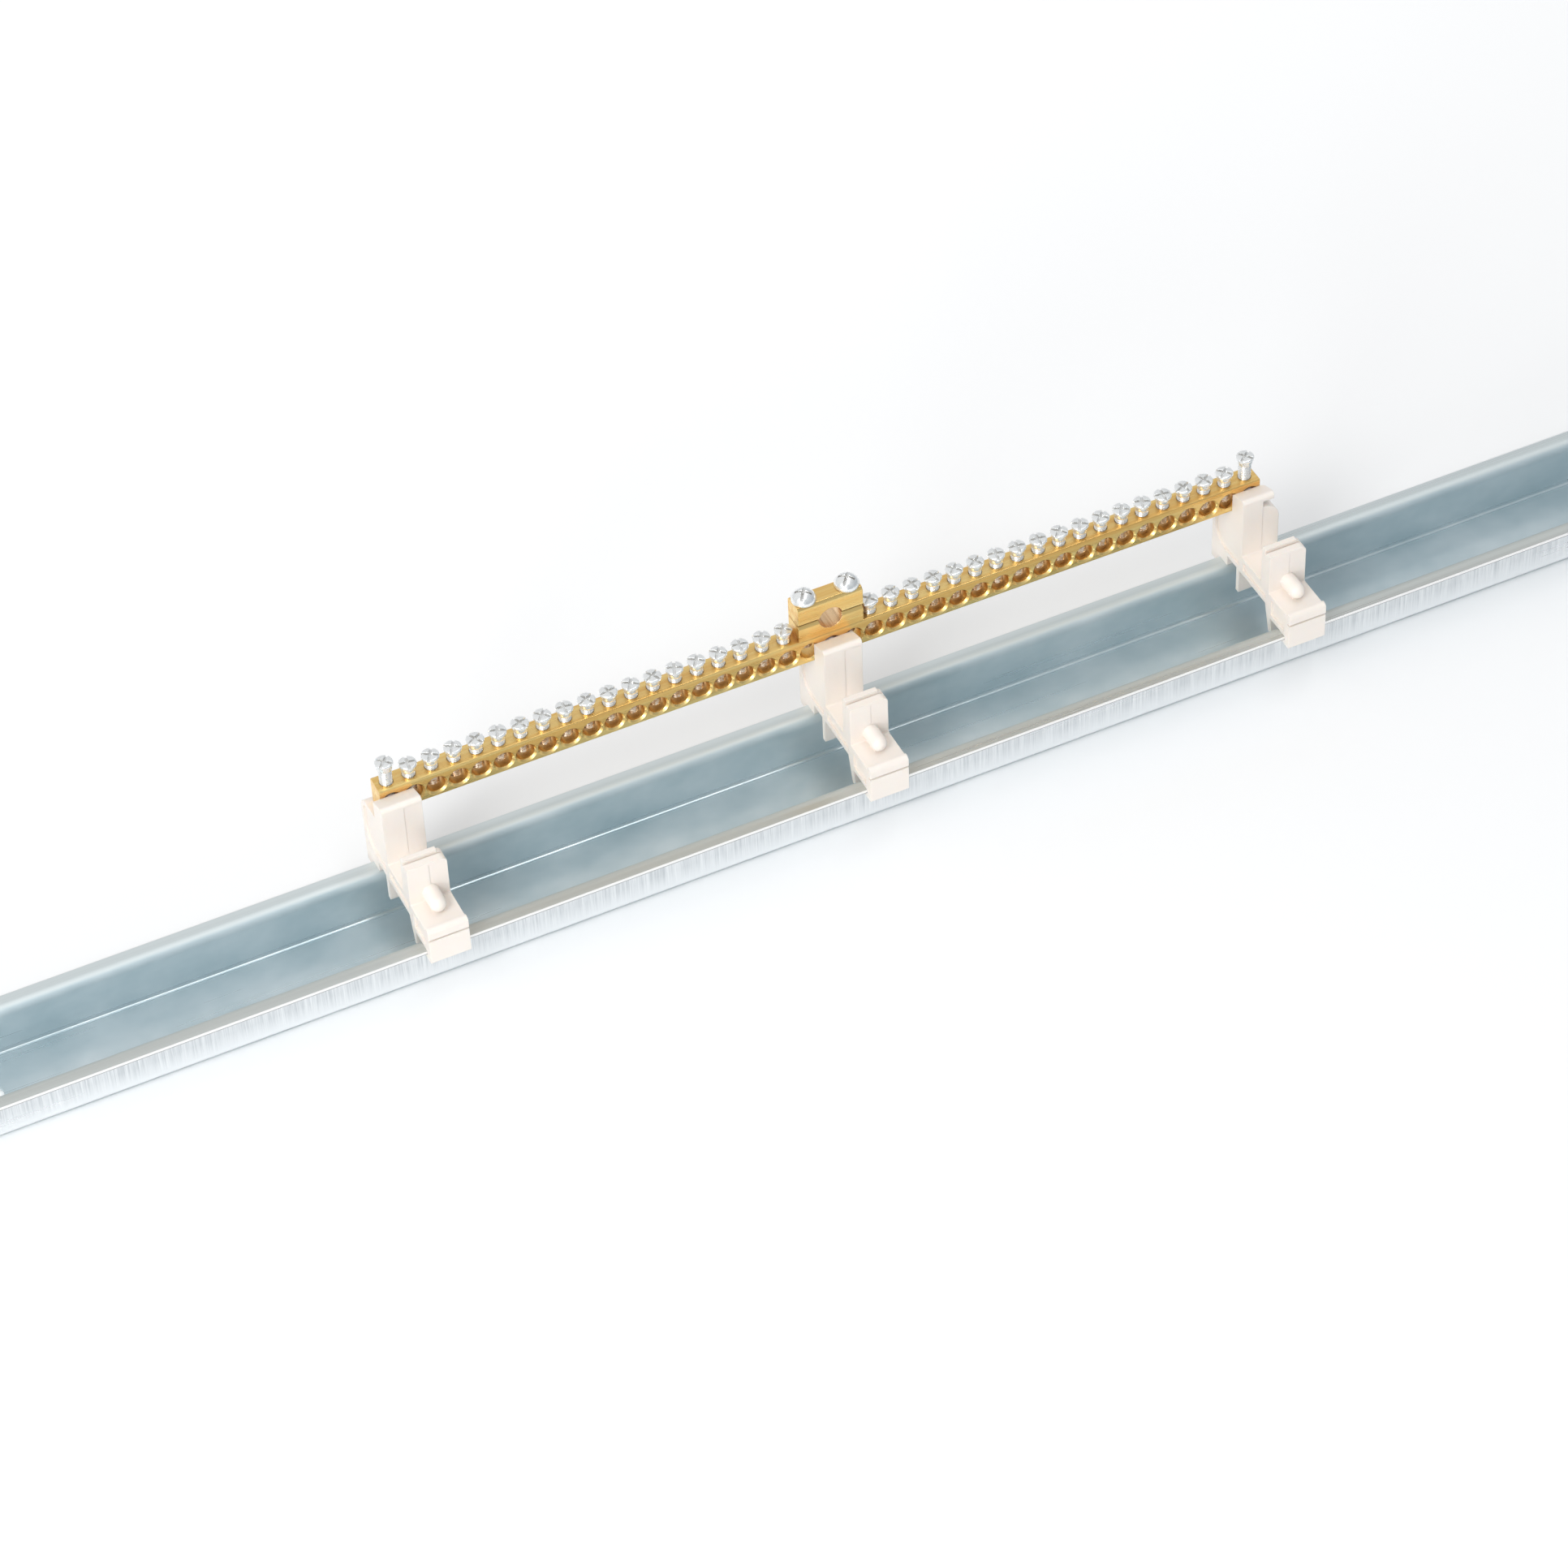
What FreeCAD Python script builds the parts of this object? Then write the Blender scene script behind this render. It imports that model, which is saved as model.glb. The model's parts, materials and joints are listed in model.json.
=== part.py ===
# Earth terminal bar: a drilled brass bar on three clip-on plastic holders, clipped to a 35 mm top-hat rail.
# Millimetres. X runs along the rail, Y across it (the wire side faces -Y) and Z up.
# The origin is the middle of the rail's underside.
import FreeCAD, Part
import math
import os

# Rail
rail_length = 530.0
rail_width = 35.0
rail_depth = 15.0
rail_thickness = 1.0
hat_width = 27.0
web_inner_bend = 0.8
flange_inner_bend = 1.5
slot_length = 15.0
slot_width = 6.2
slot_from_rail_end = 23.0

# Bar
ways = 41
pitch = 6.1
bar_depth = 6.0
bar_height = 8.0
bar_edge_chamfer = 0.25
wire_hole_diameter = 4.8
wire_hole_height = 3.6
wire_hole_countersink = 0.55
bar_front_y = 12.0
bar_above_rail = 20.6
ways_between_holders = 20

# Screws, all of one thread
thread_diameter = 3.5
thread_clearance = 0.05
thread_point = 0.5
screw_length = 8.3
head_diameter = 4.8
head_height = 1.4
head_rim_round = 0.42
collar_diameter = 3.9
collar_length = 1.3
collar_bevel = 0.3
drive_slot_width = 0.75
drive_slot_depth = 0.85
head_above_bar = 2.7
terminal_screw_turn = 37.0

# Main conductor clamp
clamp_ways = 3
clamp_lower_height = 5.0
clamp_upper_height = 6.3
clamp_parting_gap = 0.25
clamp_bore_diameter = 6.5
clamp_edge_bevel = 0.7
clamp_back_round = 1.2
clamp_screw_length = 16.0
clamp_screw_clearance = 0.1
pan_head_diameter = 6.6
pan_head_height = 3.0
pan_rim_height = 0.9
pan_slot_depth = 1.3
pan_cross_reach = 2.2
clamp_screw_turn = 25.0

# Holder, with its heights counted from the top of the rail's flanges
holder_width = 10.9
holder_beside_way = 0.4
claw_thickness = 2.0
claw_drop = 1.6
claw_reach = 1.6
rail_clearance = 0.1
foot_length = 3.9
underside_height = 3.3
plate_height = 7.8
front_bead_width = 1.6
front_bead_rise = 0.9
front_bead_round = 1.2
front_groove_height = 5.0
front_groove_width = 0.6
front_groove_depth = 1.2
riser_front_y = -8.3
riser_thickness = 4.1
riser_height = 20.3
riser_lip_thickness = 1.5
riser_lip_rise = 0.8
riser_groove_width = 0.5
riser_corner_round = 1.6
deck_height = 9.0
post_thickness = 5.8
post_head_rise = 7.8
post_head_round = 1.0
nose_drop = 2.0
spigot_clearance = 0.6
spigot_length = 3.5
spigot_screw_gap = 0.1
holder_back_wall = 3.9
rear_stop_thickness = 1.9
rear_stop_width = 5.0
rear_stop_rise = 2.6
back_corner_round = 4.5
mould_step = 0.12
mould_step_x = 0.5
peg_diameter = 4.4
peg_length = 6.9
peg_axis_height = 2.7
peg_web_width = 2.0
peg_x = 0.2
far_leg_y = 7.9
far_leg_thickness = 1.4
far_leg_depth = 4.5
near_leg_root_y = -7.6
near_leg_lean = 2.2
near_leg_thickness = 1.8
near_leg_depth = 4.9
pocket_depth = 0.7
rim_width = 1.4
pocket_corner_round = 6.0
shoulder_drop = 2.2
shoulder_round = 5.0
end_head_inset = 1.7
end_head_round = 1.5
window_height = 1.8
moulded_edge_round = 0.4

# Places worked out from the sizes
flange_top_z = rail_depth
bar_length = ways * pitch
bar_bottom_z = flange_top_z + bar_above_rail
bar_top_z = bar_bottom_z + bar_height
bar_back_y = bar_front_y + bar_depth
bar_middle_y = bar_front_y + bar_depth / 2
wire_hole_z = bar_bottom_z + wire_hole_height
tapped_radius = thread_diameter / 2 + thread_clearance
clamp_split_z = bar_top_z + clamp_lower_height + clamp_parting_gap / 2
clamp_top_z = bar_top_z + clamp_lower_height + clamp_parting_gap + clamp_upper_height
clamp_half_length = clamp_ways * pitch / 2
middle_way = (ways + 1) // 2
clamp_screw_ways = (middle_way - 1, middle_way + 1)
screwless_ways = (middle_way - 1, middle_way, middle_way + 1)
raised_ways = (middle_way - ways_between_holders, middle_way + ways_between_holders)
spigot_radius = wire_hole_diameter / 2 - spigot_clearance
spigot_below_bar_top = bar_height - wire_hole_height - spigot_radius
raised_by = screw_length - head_above_bar - spigot_below_bar_top + spigot_screw_gap


def vec(x, y, z):
    return FreeCAD.Vector(x, y, z)


def box(x0, x1, y0, y1, z0, z1):
    return Part.makeBox(x1 - x0, y1 - y0, z1 - z0, vec(x0, y0, z0))


def way_x(way):
    """Place along the bar of one way, counted from 1 at the left end."""
    return (way - (ways + 1) / 2) * pitch


def prism_along_x(points, x0, x1):
    """A solid with the outline given as (y, z) points, drawn out from x0 to x1."""
    corners = [vec(x0, y, z) for y, z in points]
    face = Part.Face(Part.makePolygon(corners + corners[:1]))
    return face.extrude(vec(x1 - x0, 0, 0))


def edges_along_x(solid, places):
    """The straight edges that run along X through the given (y, z) places."""
    found = []
    for edge in solid.Edges:
        ends = [vertex.Point for vertex in edge.Vertexes]
        if len(ends) != 2 or abs(ends[0].x - ends[1].x) < 1e-6:
            continue
        for y, z in places:
            if all(math.hypot(end.y - y, end.z - z) < 1e-4 for end in ends):
                found.append(edge)
    return found


def din_rail():
    """One folded steel strip: a web, two walls and two flanges, with a slot near each end."""
    half_hat = hat_width / 2
    half_width = rail_width / 2
    t = rail_thickness
    lower_flange_z = rail_depth - t
    right_side = [(half_hat, 0), (half_hat, lower_flange_z), (half_width, lower_flange_z),
                  (half_width, rail_depth), (half_hat - t, rail_depth), (half_hat - t, t)]
    left_side = [(-y, z) for y, z in reversed(right_side)]
    half_length = rail_length / 2
    rail = prism_along_x(right_side + left_side, -half_length, half_length)
    for side in (-1, 1):
        bends = [(half_hat, 0, web_inner_bend + t), (half_hat - t, t, web_inner_bend),
                 (half_hat - t, rail_depth, flange_inner_bend + t),
                 (half_hat, lower_flange_z, flange_inner_bend)]
        for y, z, radius in bends:
            rail = rail.makeFillet(radius, edges_along_x(rail, [(side * y, z)]))
    for side in (-1, 1):
        rail = rail.cut(rail_slot(side * (half_length - slot_from_rail_end)))
    return rail


def rail_slot(x):
    """The tool that cuts one long mounting slot through the rail's web."""
    radius = slot_width / 2
    half_run = slot_length / 2 - radius
    tool = box(x - half_run, x + half_run, -radius, radius, -rail_thickness, 2 * rail_thickness)
    for end in (-1, 1):
        centre = vec(x + end * half_run, 0, -rail_thickness)
        tool = tool.fuse(Part.makeCylinder(radius, 3 * rail_thickness, centre))
    return tool.removeSplitter()


def countersink(x, face_y, inward):
    """The cone cut where a wire hole meets a face of the bar; inward is 1 for +Y and -1 for -Y."""
    radius = wire_hole_diameter / 2
    return Part.makeCone(radius + wire_hole_countersink, radius, wire_hole_countersink,
                         vec(x, face_y, wire_hole_z), vec(0, inward, 0))


def earth_bar():
    """One brass bar, cross-drilled for a wire and tapped from above at every way."""
    half_length = bar_length / 2
    bar = box(-half_length, half_length, bar_front_y, bar_back_y, bar_bottom_z, bar_top_z)
    long_edges = [(y, z) for y in (bar_front_y, bar_back_y) for z in (bar_bottom_z, bar_top_z)]
    bar = bar.makeChamfer(bar_edge_chamfer, edges_along_x(bar, long_edges))
    tools = []
    for way in range(1, ways + 1):
        x = way_x(way)
        tools.append(Part.makeCylinder(wire_hole_diameter / 2, bar_depth + 2,
                                       vec(x, bar_front_y - 1, wire_hole_z), vec(0, 1, 0)))
        tools.append(countersink(x, bar_front_y, 1))
        tools.append(countersink(x, bar_back_y, -1))
        tools.append(Part.makeCylinder(tapped_radius, bar_top_z - wire_hole_z + 1,
                                       vec(x, bar_middle_y, wire_hole_z)))
    return bar.cut(tools)


def drive_cross(top_z, depth, slot_reach, cross_reach, turn):
    """A slot and a shorter or equal one across it, cut down from top_z and turned about the screw's axis."""
    half = drive_slot_width / 2
    cross = box(-slot_reach, slot_reach, -half, half, top_z - depth, top_z + 1)
    cross = cross.fuse(box(-half, half, -cross_reach, cross_reach, top_z - depth, top_z + 1))
    cross.rotate(vec(0, 0, 0), vec(0, 0, 1), turn)
    return cross


def shank(length):
    """The threaded shank as a plain rod of its outer diameter, down from z = 0 to a bevelled end."""
    radius = thread_diameter / 2
    rod = Part.makeCylinder(radius, length - thread_point, vec(0, 0, thread_point - length))
    point = Part.makeCone(radius - thread_point, radius, thread_point, vec(0, 0, -length))
    return rod.fuse(point)


def terminal_screw(way):
    """A tall-headed screw that presses the wire down in its hole."""
    head = Part.makeCylinder(head_diameter / 2, head_height)
    head = head.makeFillet(head_rim_round, [head.Edges[0], head.Edges[2]])
    barrel_length = collar_length - collar_bevel
    collar = Part.makeCylinder(collar_diameter / 2, barrel_length, vec(0, 0, -barrel_length))
    neck = Part.makeCone(thread_diameter / 2, collar_diameter / 2, collar_bevel, vec(0, 0, -collar_length))
    screw = head.fuse([collar, neck, shank(screw_length)]).removeSplitter()
    turn = terminal_screw_turn * way
    screw = screw.cut(drive_cross(head_height, drive_slot_depth, head_diameter, head_diameter, turn))
    lift = raised_by if way in raised_ways else 0.0
    screw.translate(vec(way_x(way), bar_middle_y, bar_top_z + head_above_bar + lift))
    return screw


def clamp_screw(way):
    """A pan-headed screw through both clamp blocks into the bar."""
    radius = pan_head_diameter / 2
    dome_height = pan_head_height - pan_rim_height
    dome_radius = (radius ** 2 + dome_height ** 2) / (2 * dome_height)
    dome = Part.makeSphere(dome_radius, vec(0, 0, pan_head_height - dome_radius))
    dome = dome.common(Part.makeCylinder(radius, dome_height, vec(0, 0, pan_rim_height)))
    rim = Part.makeCylinder(radius, pan_rim_height)
    screw = rim.fuse([dome, shank(clamp_screw_length)]).removeSplitter()
    turn = clamp_screw_turn * way
    screw = screw.cut(drive_cross(pan_head_height, pan_slot_depth, pan_head_diameter, pan_cross_reach, turn))
    screw.translate(vec(way_x(way), bar_middle_y, clamp_top_z))
    return screw


def clamp_block(bottom_z, top_z, bevelled_places, rounded_places):
    """Half of the main clamp: a brass block that holds half of the conductor's bore."""
    block = box(-clamp_half_length, clamp_half_length, bar_front_y, bar_back_y, bottom_z, top_z)
    block = block.makeChamfer(clamp_edge_bevel, edges_along_x(block, bevelled_places))
    if rounded_places:
        block = block.makeFillet(clamp_back_round, edges_along_x(block, rounded_places))
    bore = Part.makeCylinder(clamp_bore_diameter / 2, bar_depth + 2,
                             vec(0, bar_front_y - 1, clamp_split_z), vec(0, 1, 0))
    holes = [Part.makeCylinder(thread_diameter / 2 + clamp_screw_clearance, top_z - bottom_z + 2,
                               vec(way_x(way), bar_middle_y, bottom_z - 1)) for way in clamp_screw_ways]
    return block.cut([bore] + holes)


def clamp_block_lower():
    top_z = bar_top_z + clamp_lower_height
    return clamp_block(bar_top_z, top_z, [(bar_front_y, top_z)], [])


def clamp_block_upper():
    bottom_z = clamp_top_z - clamp_upper_height
    front_edges = [(bar_front_y, bottom_z), (bar_front_y, clamp_top_z)]
    return clamp_block(bottom_z, clamp_top_z, front_edges, [(bar_back_y, clamp_top_z)])


def holder_outline():
    """Side outline of a holder as (y, z) points, z counted from the top of the flanges."""
    inner_y = rail_width / 2 + rail_clearance
    outer_y = inner_y + claw_thickness
    lip_y = rail_width / 2 - claw_reach
    lip_top = -rail_thickness - rail_clearance
    lip_bottom = lip_top - claw_drop
    foot_y = rail_width / 2 - foot_length
    back_y = bar_back_y + holder_back_wall
    riser_back_y = riser_front_y + riser_thickness
    post_front_y = bar_front_y - post_thickness
    nose_z = bar_above_rail + post_head_rise - nose_drop
    front = [(-outer_y, lip_bottom), (-outer_y, plate_height + front_bead_rise),
             (front_bead_width - outer_y, plate_height + front_bead_rise),
             (front_bead_width - outer_y, plate_height), (riser_front_y, plate_height)]
    top = [(riser_front_y, riser_height), (riser_back_y, riser_height), (riser_back_y, deck_height),
           (post_front_y, deck_height), (post_front_y, bar_above_rail + post_head_rise),
           (bar_front_y, nose_z), (bar_front_y, bar_above_rail), (back_y, bar_above_rail)]
    far_claw = [(back_y, lip_bottom), (lip_y, lip_bottom), (lip_y, lip_top), (inner_y, lip_top),
                (inner_y, 0), (foot_y, 0), (foot_y, underside_height)]
    far_leg = [(far_leg_y + far_leg_thickness / 2, underside_height),
               (far_leg_y + far_leg_thickness / 2, -far_leg_depth),
               (far_leg_y - far_leg_thickness / 2, -far_leg_depth),
               (far_leg_y - far_leg_thickness / 2, underside_height)]
    leg_tip_y = near_leg_root_y - near_leg_lean
    near_leg = [(near_leg_root_y + near_leg_thickness / 2, underside_height),
                (leg_tip_y + near_leg_thickness / 2, -near_leg_depth),
                (leg_tip_y - near_leg_thickness / 2, -near_leg_depth),
                (near_leg_root_y - near_leg_thickness / 2 - near_leg_lean / 2, 0)]
    near_claw = [(-inner_y, 0), (-inner_y, lip_top), (-lip_y, lip_top), (-lip_y, lip_bottom)]
    return front + top + far_claw + far_leg + near_leg + near_claw


def holder_body():
    """The outline drawn out to the holder's width, with its main corners rounded."""
    half = holder_width / 2
    body = prism_along_x(holder_outline(), -half, half)
    back_y = bar_back_y + holder_back_wall
    front_y = -rail_width / 2 - rail_clearance - claw_thickness
    lip_bottom = -rail_thickness - rail_clearance - claw_drop
    body = body.makeFillet(back_corner_round, edges_along_x(body, [(back_y, bar_above_rail)]))
    body = body.makeFillet(front_bead_round, edges_along_x(body, [(front_y, plate_height + front_bead_rise)]))
    post_front_y = bar_front_y - post_thickness
    post_top_z = bar_above_rail + post_head_rise
    body = body.makeFillet(post_head_round, edges_along_x(body, [(post_front_y, post_top_z)]))
    small = [(front_y, lip_bottom), (back_y, lip_bottom), (riser_front_y, plate_height),
             (riser_front_y + riser_thickness, deck_height), (post_front_y, deck_height)]
    return body.makeFillet(moulded_edge_round, edges_along_x(body, small))


def riser_trim():
    """What is cut from the riser: its rounded corner, and the groove along its top."""
    half = holder_width / 2
    front = riser_front_y - 1
    back = riser_front_y + riser_thickness + 1
    r = riser_corner_round
    corner = box(half - r, half + 1, front, back, riser_height - r, riser_height + 1)
    centre = vec(half - r, front, riser_height - r)
    corner = corner.cut(Part.makeCylinder(r, back - front, centre, vec(0, 1, 0)))
    lip_front = riser_front_y + riser_thickness - riser_lip_thickness
    groove = box(-half - 1, half + 1, lip_front - riser_groove_width, lip_front,
                 riser_height - riser_lip_rise, riser_height + 1)
    return [corner, groove]


def riser_lip():
    """The low ridge that stands behind the groove on the riser's top."""
    half = holder_width / 2
    back = riser_front_y + riser_thickness
    return box(-half, half - riser_corner_round, back - riser_lip_thickness, back,
               riser_height - riser_lip_rise, riser_height + riser_lip_rise)


def mould_steps():
    """The right half of the post's and the riser's front stands back a little from the left half."""
    right = holder_width / 2 + 1
    post_front_y = bar_front_y - post_thickness
    post_top = bar_above_rail + post_head_rise - post_head_round - mould_step
    post = box(mould_step_x, right, post_front_y - 1, post_front_y + mould_step,
               deck_height + moulded_edge_round + mould_step, post_top - window_height / 2)
    riser = box(mould_step_x, right, riser_front_y - 1, riser_front_y + mould_step,
                plate_height + moulded_edge_round + mould_step, riser_height - riser_lip_rise)
    return [post, riser]


def front_groove():
    front_y = -rail_width / 2 - rail_clearance - claw_thickness
    half = holder_width / 2 + 1
    return box(-half, half, front_y - 1, front_y + front_groove_depth,
               front_groove_height, front_groove_height + front_groove_width)


def pocket(y0, y1, z0, z1, lower_round, upper_round):
    """The tool for one shallow pocket in both sides of the holder, rounded at its two back corners."""
    tools = []
    for side in (-1, 1):
        inner = side * (holder_width / 2 - pocket_depth)
        outer = side * (holder_width / 2 + 1)
        tool = box(min(inner, outer), max(inner, outer), y0, y1, z0, z1)
        for z, corner_round in ((z0, lower_round), (z1, upper_round)):
            if corner_round:
                tool = tool.makeFillet(corner_round, edges_along_x(tool, [(y1, z)]))
        tools.append(tool)
    return tools


def side_pockets():
    """Pockets that leave a rim round the holder's side: under the bar, under the deck and at the front."""
    back_y = bar_back_y + holder_back_wall
    post_front_y = bar_front_y - post_thickness
    rim_z = underside_height + rim_width
    under_bar = pocket(post_front_y + rim_width, back_y - rim_width, rim_z,
                       bar_above_rail - rim_width, pocket_corner_round, back_corner_round - rim_width)
    under_deck = pocket(riser_front_y + rim_width, post_front_y - rim_width / 2, rim_z,
                        deck_height - rim_width, 0, 0)
    front_y = -rail_width / 2 - rail_clearance - claw_thickness + front_groove_depth
    at_front = pocket(front_y + rim_width, riser_front_y - rim_width, rim_width,
                      plate_height - rim_width, 0, 0)
    return under_bar + under_deck + at_front


def finger_peg():
    """The round-ended peg that stands out from the riser, on a narrow web over the shoulder."""
    r = peg_diameter / 2
    axis_z = plate_height + peg_axis_height
    back_y = riser_front_y + moulded_edge_round
    nose_y = riser_front_y - peg_length + r
    half_web = peg_web_width / 2
    web = box(peg_x - half_web, peg_x + half_web, nose_y, back_y, plate_height - moulded_edge_round, axis_z)
    barrel = Part.makeCylinder(r, back_y - nose_y, vec(peg_x, nose_y, axis_z), vec(0, 1, 0))
    nose = Part.makeSphere(r, vec(peg_x, nose_y, axis_z))
    return web.fuse([barrel, nose])


def bar_spigot():
    """The round peg behind the post that stands in the wire hole at the holder's own way."""
    root = moulded_edge_round
    centre = vec(-holder_beside_way, bar_front_y - root, bar_above_rail + wire_hole_height)
    return Part.makeCylinder(spigot_radius, spigot_length + root, centre, vec(0, 1, 0))


def rear_stop():
    """The low tooth behind the bar that keeps it on the spigot."""
    half = rear_stop_width / 2
    root_z = bar_above_rail - back_corner_round
    top_z = bar_above_rail + rear_stop_rise
    return box(-half, half, bar_back_y, bar_back_y + rear_stop_thickness, root_z, top_z)


def shoulder_window():
    """The gap under the head of an end holder, above a shoulder with a rounded outer corner."""
    half = holder_width / 2
    x0 = mould_step_x + mould_step
    top = bar_above_rail + post_head_rise - nose_drop - shoulder_drop + window_height
    sill = top - window_height
    y0 = bar_front_y - post_thickness - 1
    y1 = bar_front_y + 1
    r = shoulder_round
    gap = box(x0, half + 1, y0, y1, sill, top)
    corner = box(half - r, half + 1, y0, y1, sill - r, sill)
    corner = corner.cut(Part.makeCylinder(r, y1 - y0, vec(half - r, y0, sill - r), vec(0, 1, 0)))
    return [gap, corner]


def end_head_trim():
    """What is cut from an end holder's head: its right end, set in and rounded at the bar."""
    end_x = holder_width / 2 - end_head_inset
    bottom = bar_above_rail + post_head_rise - nose_drop - shoulder_drop
    top = bar_above_rail + post_head_rise + 1
    front = bar_front_y - post_thickness - 1
    r = end_head_round
    end = box(end_x, holder_width / 2 + 1, front, bar_front_y + 1, bottom, top)
    corner = box(end_x - r, end_x, bar_front_y - r, bar_front_y + 1, bottom, top)
    corner = corner.cut(Part.makeCylinder(r, top - bottom, vec(end_x - r, bar_front_y - r, bottom)))
    return [end, corner]


def holder(way, with_window):
    """One moulded holder: claws on the rail's flanges, a post and spigot at the bar, a seat below it."""
    body = holder_body().cut(mould_steps())
    body = body.fuse([riser_lip(), finger_peg(), bar_spigot(), rear_stop()]).removeSplitter()
    tools = riser_trim() + side_pockets() + [front_groove()]
    if with_window:
        tools += shoulder_window() + end_head_trim()
    body = body.cut(tools)
    body.translate(vec(way_x(way) + holder_beside_way, 0, flange_top_z))
    return body


def all_nodes():
    """Every piece by its node's name."""
    nodes = {"din_rail": din_rail(), "earth_bar": earth_bar(),
             "clamp_block_lower": clamp_block_lower(), "clamp_block_upper": clamp_block_upper()}
    left_way, right_way = raised_ways
    nodes["holder_left"] = holder(left_way, False)
    nodes["holder_middle"] = holder(middle_way, False)
    nodes["holder_right"] = holder(right_way, True)
    for name, way in zip(("clamp_screw_left", "clamp_screw_right"), clamp_screw_ways):
        nodes[name] = clamp_screw(way)
    for way in range(1, ways + 1):
        if way not in screwless_ways:
            nodes["terminal_screw_%02d" % way] = terminal_screw(way)
    return nodes


os.makedirs("parts", exist_ok=True)
for node_name, shape in all_nodes().items():
    solid = shape.Solids[0] if len(shape.Solids) == 1 else shape
    solid.exportStep("parts/%s.step" % node_name)
    print("%-20s valid %s, volume %.1f mm3" % (node_name, shape.isValid(), shape.Volume))
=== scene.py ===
# %% [markdown]
# This lesson dresses a finished CAD model of an earth terminal bar for a product picture. The CAD solids
# are the frame: they are never moved or reshaped. What the lesson adds are cut screw threads, bevelled
# driver slots and surfaces that look like brass, zinc, galvanised steel and moulded plastic.

# %% Load the frame
import json
import math
import random

import bmesh
import bpy
from mathutils import Matrix, Vector


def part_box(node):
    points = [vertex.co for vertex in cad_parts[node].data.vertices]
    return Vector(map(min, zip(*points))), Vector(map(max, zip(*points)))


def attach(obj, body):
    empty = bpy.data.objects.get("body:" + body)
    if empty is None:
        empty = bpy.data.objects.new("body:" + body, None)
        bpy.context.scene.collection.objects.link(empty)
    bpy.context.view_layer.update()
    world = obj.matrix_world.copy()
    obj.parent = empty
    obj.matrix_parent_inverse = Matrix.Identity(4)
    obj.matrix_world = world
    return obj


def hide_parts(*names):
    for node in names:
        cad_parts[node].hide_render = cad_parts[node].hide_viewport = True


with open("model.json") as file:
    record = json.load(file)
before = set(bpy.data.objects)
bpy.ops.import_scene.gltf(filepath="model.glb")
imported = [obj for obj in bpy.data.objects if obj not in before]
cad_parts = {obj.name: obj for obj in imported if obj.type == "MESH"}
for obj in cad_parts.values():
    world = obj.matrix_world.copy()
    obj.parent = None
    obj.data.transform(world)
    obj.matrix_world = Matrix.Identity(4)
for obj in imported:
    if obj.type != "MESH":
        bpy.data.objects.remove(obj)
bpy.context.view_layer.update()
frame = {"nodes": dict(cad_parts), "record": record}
nodes = frame["nodes"]
print("nodes loaded:", len(nodes))

# %% [markdown]
# Blender works in metres, while small hardware is easier to think about in millimetres. One factor turns
# one into the other, and every size below is written in millimetres. Anything random uses one seeded
# generator, so that the picture comes out the same each time.

# %% Units and the random generator
MM = 0.001
SEED = 41

rng = random.Random(SEED)


# %% [markdown]
# A camera could be nudged by eye until the picture looks right, but then every edge is a little off. This
# one comes from a fit to the photograph: from where the rail's long edges, the uprights and the 41 ways
# fall in it. The fit gives two angles round the object, a small roll, a distance and a focal length in
# pixels of a 1932 pixel wide picture.

# %% Where the camera stands
CAMERA_AZIMUTH = math.radians(-23.69)
CAMERA_ELEVATION = math.radians(45.35)
CAMERA_ROLL = math.radians(-2.70)
CAMERA_DISTANCE = 1326.0
CAMERA_SIDEWAYS = -16.9
CAMERA_UPWARDS = -10.7
AIM_POINT = Vector((-1.5, 0.0, 15.0))


def camera_matrix():
    """The camera's place and turn, from the fitted angles and distances."""
    level = math.cos(CAMERA_ELEVATION)
    back = Vector((
        math.sin(CAMERA_AZIMUTH) * level,
        -math.cos(CAMERA_AZIMUTH) * level,
        math.sin(CAMERA_ELEVATION),
    ))
    level_right = (-back).cross(Vector((0, 0, 1))).normalized()
    level_up = level_right.cross(-back)
    right = math.cos(CAMERA_ROLL) * level_right + math.sin(CAMERA_ROLL) * level_up
    up = math.cos(CAMERA_ROLL) * level_up - math.sin(CAMERA_ROLL) * level_right
    place = AIM_POINT + back * CAMERA_DISTANCE + right * CAMERA_SIDEWAYS + up * CAMERA_UPWARDS
    turn = Matrix((right, up, back)).transposed().to_4x4()
    return Matrix.Translation(place * MM) @ turn


# %% [markdown]
# A 36 mm wide sensor turns the focal length in pixels into a lens length, which is printed as a check
# against a real lens. The clipping distances only need to take in the object and the floor round it. Depth
# of field stays off, because a product picture is sharp all over.

# %% Camera
IMAGE_WIDTH = 1932
FOCAL_PIXELS = 6339.0
SENSOR_WIDTH = 36.0
NEAREST_DRAWN = 50.0
FURTHEST_DRAWN = 50000.0

camera_data = bpy.data.cameras.new("camera")
camera_data.sensor_width = SENSOR_WIDTH
camera_data.lens = FOCAL_PIXELS / IMAGE_WIDTH * SENSOR_WIDTH
camera_data.clip_start = NEAREST_DRAWN * MM
camera_data.clip_end = FURTHEST_DRAWN * MM
camera_data.dof.use_dof = False
camera = bpy.data.objects.new("camera", camera_data)
camera.matrix_world = camera_matrix()
bpy.context.scene.collection.objects.link(camera)
bpy.context.scene.camera = camera
print("lens, mm:", round(camera_data.lens, 2))

# %% [markdown]
# A node material is a small graph. It could be drawn by hand in the node editor, but helpers keep the
# graphs short to write and easy to compare. The first ones make a material with nothing but its surface
# shader, add a node with its inputs set by name, do one step of vector arithmetic, and split a place into
# its three coordinates.

# %% Helpers that build a graph


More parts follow.
